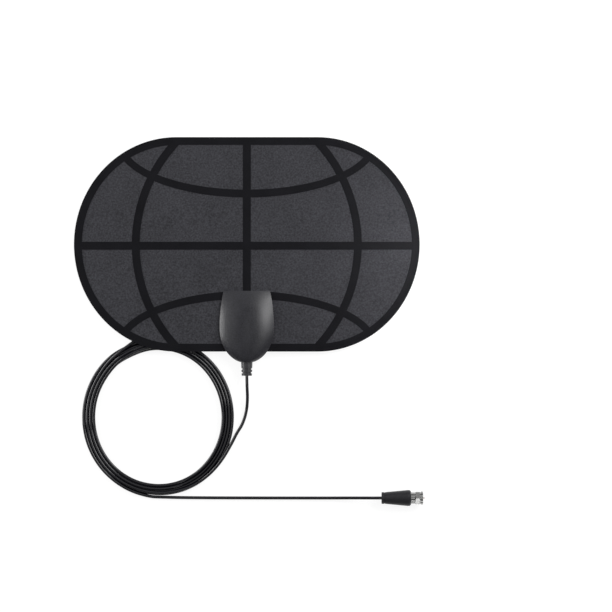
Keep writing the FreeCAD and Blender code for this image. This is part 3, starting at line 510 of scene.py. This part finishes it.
def on_coil(keys, step):
    """Control points along a strand, moved out by as much as the spline cuts inside them."""
    spare = 1 / (POINT_SHARE + (1 - POINT_SHARE) * math.cos(math.radians(step)))
    first, last = keys[0][0], keys[-1][0]
    count = int(abs(last - first) / step)
    points = []
    for index in range(count + 1):
        angle = first + math.copysign(step, last - first) * index
        offset, height = between(keys, angle)
        turn = math.radians(angle)
        x = COIL_CENTRE[0] + (COIL_RADII[0] + offset) * spare * math.cos(turn)
        y = COIL_CENTRE[1] + (COIL_RADII[1] + offset) * spare * math.sin(turn)
        points.append((x, y, height))
    return points


def cable_curve(points, radius):
    """One smooth spline along the route, as thick as the cable."""
    curve = bpy.data.curves.new("cable", "CURVE")
    curve.dimensions = "3D"
    spline = curve.splines.new("NURBS")
    spline.points.add(len(points) - 1)
    for point, place in zip(spline.points, points):
        point.co = (*place, 1.0)
    spline.order_u = 3
    spline.use_endpoint_u = True
    spline.resolution_u = 9
    curve.bevel_depth = radius
    curve.bevel_resolution = 6
    curve.use_fill_caps = True
    cable = bpy.data.objects.new("cable", curve)
    bpy.context.scene.collection.objects.link(cable)
    return cable


class ANTENNA_OT_cable(bpy.types.Operator):
    """Lays the cable from the board through its coil to the plug"""

    bl_idname = "antenna.cable"
    bl_label = "Cable"

    def execute(self, context):
        settings = context.scene.antenna_cable
        first = on_coil(FIRST_STRAND, settings.step)
        others = on_coil(winding_keys(), settings.step)
        cable = cable_curve([*LEAD, *first, *FOLD, *others, *TAIL], settings.diameter / 2)
        cable.data.materials.append(vinyl_jacket("cable_jacket", settings.colour))
        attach(cable, "antenna")
        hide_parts("cable_lead", "cable_fold", "cable_coil", "cable_tail")
        plug = [NODES[name] for name in PLUG_NODES]
        plug.append(bpy.data.objects["nut_thread"])
        return {"FINISHED"}


# Panel, housing and plug

class ANTENNA_OT_panel(bpy.types.Operator):
    """Finishes the panel's sheets, foils and globe lines"""

    bl_idname = "antenna.panel"
    bl_label = "Panel"

    def execute(self, context):
        settings = context.scene.antenna_panel
        film = woven_film("panel_film", settings.film, settings.thread_pitch)
        dress(film, "front_sheet", "back_sheet")
        dress(printed_line("globe_print", settings.lines), "globe_lines")
        foil = sheet_metal("receiving_foil", linear(215, 216, 219), roughness=0.3)
        dress(foil, "foil_left", "foil_right")
        return {"FINISHED"}


class ANTENNA_OT_housing(bpy.types.Operator):
    """Finishes the housing's shells, screws and strain relief"""

    bl_idname = "antenna.housing"
    bl_label = "Housing"

    def execute(self, context):
        settings = context.scene.antenna_housing
        shell = moulded_plastic(
            "housing_plastic", settings.plastic, roughness=0.33, grain_size=0.0012, depth=0.00012,
            speckle=0.4, gloss=0.48)
        dress(shell, "housing_front", "housing_back")
        relief = moulded_plastic("relief_plastic", settings.relief, roughness=0.4, grain_size=0.0003)
        dress(relief, "strain_relief")
        dress(sheet_metal("screw_steel", linear(150, 150, 152), roughness=0.35), "housing_screws")
        return {"FINISHED"}


class ANTENNA_OT_inside(bpy.types.Operator):
    """Finishes what lies inside the housing"""

    bl_idname = "antenna.inside"
    bl_label = "Inside"

    def execute(self, context):
        settings = context.scene.antenna_inside
        dress(circuit_board("board_laminate", settings.laminate), "matching_board")
        dress(sheet_metal("rivet_brass", linear(205, 178, 120), roughness=0.3), "foil_rivets")
        core = moulded_plastic(
            "ferrite", linear(44, 43, 44), roughness=0.6, grain_size=0.0006, depth=0.00006)
        dress(core, "balun_core")
        dress(sheet_metal("clamp_tin", linear(190, 191, 193), roughness=0.32), "cable_clamp")
        insulation = moulded_plastic("coax_insulation", linear(226, 226, 220), roughness=0.45)
        dress(insulation, "coax_dielectric")
        dress(sheet_metal("copper_wire", linear(200, 130, 92), roughness=0.3), "coax_conductor")
        return {"FINISHED"}


def nut_thread(pitch, depth):
    """A ridge wound along the nut's bore, from the plug's flange to the nut's mouth."""
    low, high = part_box("coupling_nut")
    flange_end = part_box("plug_body")[1].x
    axis = (low + high) / 2
    start, end = flange_end + THREAD_END_ROOM, high.x - THREAD_END_ROOM
    turns = (end - start) / pitch - 1
    steps = int(turns * THREAD_STEPS)
    corners = (
        (start, NUT_BORE + FOOT_SINK),
        (start + pitch * 0.5, NUT_BORE - depth),
        (start + pitch * FOOT_SHARE, NUT_BORE + FOOT_SINK),
    )
    ridge = bmesh.new()
    rim = [ridge.verts.new((x, axis.y, axis.z + radius)) for x, radius in corners]
    profile = ridge.faces.new(rim)
    bmesh.ops.spin(
        ridge, geom=[profile], cent=axis, axis=(1, 0, 0), dvec=(pitch * turns / steps, 0, 0),
        angle=2 * math.pi * turns, steps=steps, use_merge=False, use_duplicate=False)
    bmesh.ops.recalc_face_normals(ridge, faces=ridge.faces)
    mesh = bpy.data.meshes.new("nut_thread")
    ridge.to_mesh(mesh)
    ridge.free()
    piece = bpy.data.objects.new("nut_thread", mesh)
    bpy.context.scene.collection.objects.link(piece)
    return piece


class ANTENNA_OT_plug(bpy.types.Operator):
    """Finishes the plug and cuts the thread in its nut"""

    bl_idname = "antenna.plug"
    bl_label = "Plug"

    def execute(self, context):
        settings = context.scene.antenna_plug
        nickel = plated_metal("nickel_plate", settings.plating, roughness=0.18)
        dress(nickel, "plug_body", "coupling_nut")
        boot = moulded_plastic(
            "boot_plastic", settings.boot, roughness=0.45, grain_size=0.0010, depth=0.000012,
            speckle=0.3, gloss=0.3)
        dress(boot, "plug_boot")
        insulation = moulded_plastic("plug_insulation", linear(232, 231, 226), roughness=0.4)
        dress(insulation, "plug_insulator")
        dress(plated_metal("pin_copper", linear(150, 106, 80), roughness=0.25), "centre_pin")
        thread = nut_thread(settings.thread_pitch, settings.thread_depth)
        thread.data.materials.append(nickel)
        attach(thread, "nut")
        return {"FINISHED"}


# Stage

def table_top(colour):
    """A pale table that shows as white, with faint shadows."""
    finish = new_finish("table_top")
    camera = finish.node("ShaderNodeLightPath", output="Is Camera Ray")
    seen = camera + camera.other("Is Glossy Ray") + camera.other("Is Transmission Ray")
    matte = finish.node("ShaderNodeBsdfDiffuse", {}, {"Color": (*colour, 1.0)})
    white = finish.node("ShaderNodeEmission", {}, {"Strength": WHITE_STRENGTH})
    both = finish.blend(seen * WHITE_SHARE, matte, white)
    finish.node("ShaderNodeOutputMaterial", {}, {"Surface": both})
    return finish.owner


def studio_world():
    """A soft band of light round the table, open at the near side, and a glow overhead.

    It is white where the camera looks past the table.
    """
    finish = Finish(bpy.data.worlds.new("studio"))

    def glow(strength):
        return finish.node("ShaderNodeBackground", {}, {"Strength": strength})

    up = finish.node("ShaderNodeTexCoord", output="Generated")
    height = finish.node("ShaderNodeSeparateXYZ", {}, {"Vector": up}, "Z")
    band = finish.ramp(height, *BAND_FOOT) * (1 - finish.ramp(height, *BAND_TOP))
    away = finish.ramp(height.other("Y"), *BAND_NEAR)
    overhead = finish.ramp(height, *OVERHEAD)
    camera = finish.node("ShaderNodeLightPath", output="Is Camera Ray")
    soft = finish.blend(band * away, glow(0.22), glow(1.1))
    lit = finish.blend(overhead, soft, glow(1.3))
    both = finish.blend(camera, lit, glow(1.0))
    finish.node("ShaderNodeOutputWorld", {}, {"Surface": both})
    return finish.owner


def soft_box(name, place, target, size, power, spread=180):
    """A rectangular lamp that looks at the target; a smaller spread, in degrees, narrows its light."""
    lamp = bpy.data.lights.new(name, "AREA")
    lamp.shape = "RECTANGLE"
    lamp.size, lamp.size_y = size
    lamp.energy = power
    lamp.spread = math.radians(spread)
    holder = bpy.data.objects.new(name, lamp)
    holder.location = place
    holder.rotation_euler = (Vector(target) - Vector(place)).to_track_quat("-Z", "Y").to_euler()
    bpy.context.scene.collection.objects.link(holder)


class ANTENNA_OT_stage(bpy.types.Operator):
    """Sets up the table, the lights and the camera"""

    bl_idname = "antenna.stage"
    bl_label = "Stage"

    def execute(self, context):
        scene = context.scene
        settings = scene.antenna_stage
        plane = bmesh.new()
        bmesh.ops.create_grid(plane, x_segments=1, y_segments=1, size=TABLE_REACH)
        bmesh.ops.translate(plane, verts=plane.verts, vec=(0, 0, -TABLE_GAP))
        mesh = bpy.data.meshes.new("table_top")
        plane.to_mesh(mesh)
        plane.free()
        mesh.materials.append(table_top(settings.floor))
        table = bpy.data.objects.new("table_top", mesh)
        scene.collection.objects.link(table)

        scene.world = studio_world()
        soft_box("right_light", (0.62, 0.25, 0.50), PANEL_SPOT, (0.60, 0.45), settings.right_power)
        soft_box("left_light", (-0.75, 0.15, 0.20), PANEL_SPOT, (0.80, 0.30), settings.left_power)
        soft_box("near_light", (0.19, -1.00, 0.47), PLUG_SPOT, (0.14, 0.20), settings.near_power)
        soft_box("end_light", (0.24, 0.01, 0.28), END_SPOT, (0.05, 0.16), settings.end_power, spread=60)

        lens = bpy.data.cameras.new("camera")
        lens.sensor_width = SENSOR_WIDTH
        lens.lens = SENSOR_WIDTH * settings.camera_height / settings.view_width
        camera = bpy.data.objects.new("camera", lens)
        camera.location = (*VIEW_CENTRE, settings.camera_height)
        scene.collection.objects.link(camera)
        scene.camera = camera
        scene.view_settings.view_transform = "Standard"
        return {"FINISHED"}


# Add-on

GROUPS = (
    ("antenna_panel", PanelSettings, ANTENNA_OT_panel),
    ("antenna_housing", HousingSettings, ANTENNA_OT_housing),
    ("antenna_inside", InsideSettings, ANTENNA_OT_inside),
    ("antenna_plug", PlugSettings, ANTENNA_OT_plug),
    ("antenna_cable", CableSettings, ANTENNA_OT_cable),
    ("antenna_stage", StageSettings, ANTENNA_OT_stage),
)


class ANTENNA_PT_tools(bpy.types.Panel):
    """Lists the antenna's settings and operators"""

    bl_idname = "ANTENNA_PT_tools"
    bl_label = "Antenna"
    bl_space_type = "VIEW_3D"
    bl_region_type = "UI"
    bl_category = "Antenna"

    def draw(self, context):
        for name, settings_type, operator in GROUPS:
            box = self.layout.box()
            box.operator(operator.bl_idname)
            for setting in settings_type.__annotations__:
                box.prop(getattr(context.scene, name), setting)


def register():
    for name, settings_type, operator in GROUPS:
        bpy.utils.register_class(settings_type)
        setattr(bpy.types.Scene, name, PointerProperty(type=settings_type))
        bpy.utils.register_class(operator)
    bpy.utils.register_class(ANTENNA_PT_tools)


def unregister():
    bpy.utils.unregister_class(ANTENNA_PT_tools)
    for name, settings_type, operator in reversed(GROUPS):
        bpy.utils.unregister_class(operator)
        delattr(bpy.types.Scene, name)
        bpy.utils.unregister_class(settings_type)


def main():
    register()
    bpy.ops.antenna.stage()
    bpy.ops.antenna.panel()
    bpy.ops.antenna.housing()
    bpy.ops.antenna.inside()
    bpy.ops.antenna.plug()
    bpy.ops.antenna.cable()


if __name__ == "__main__":
    main()
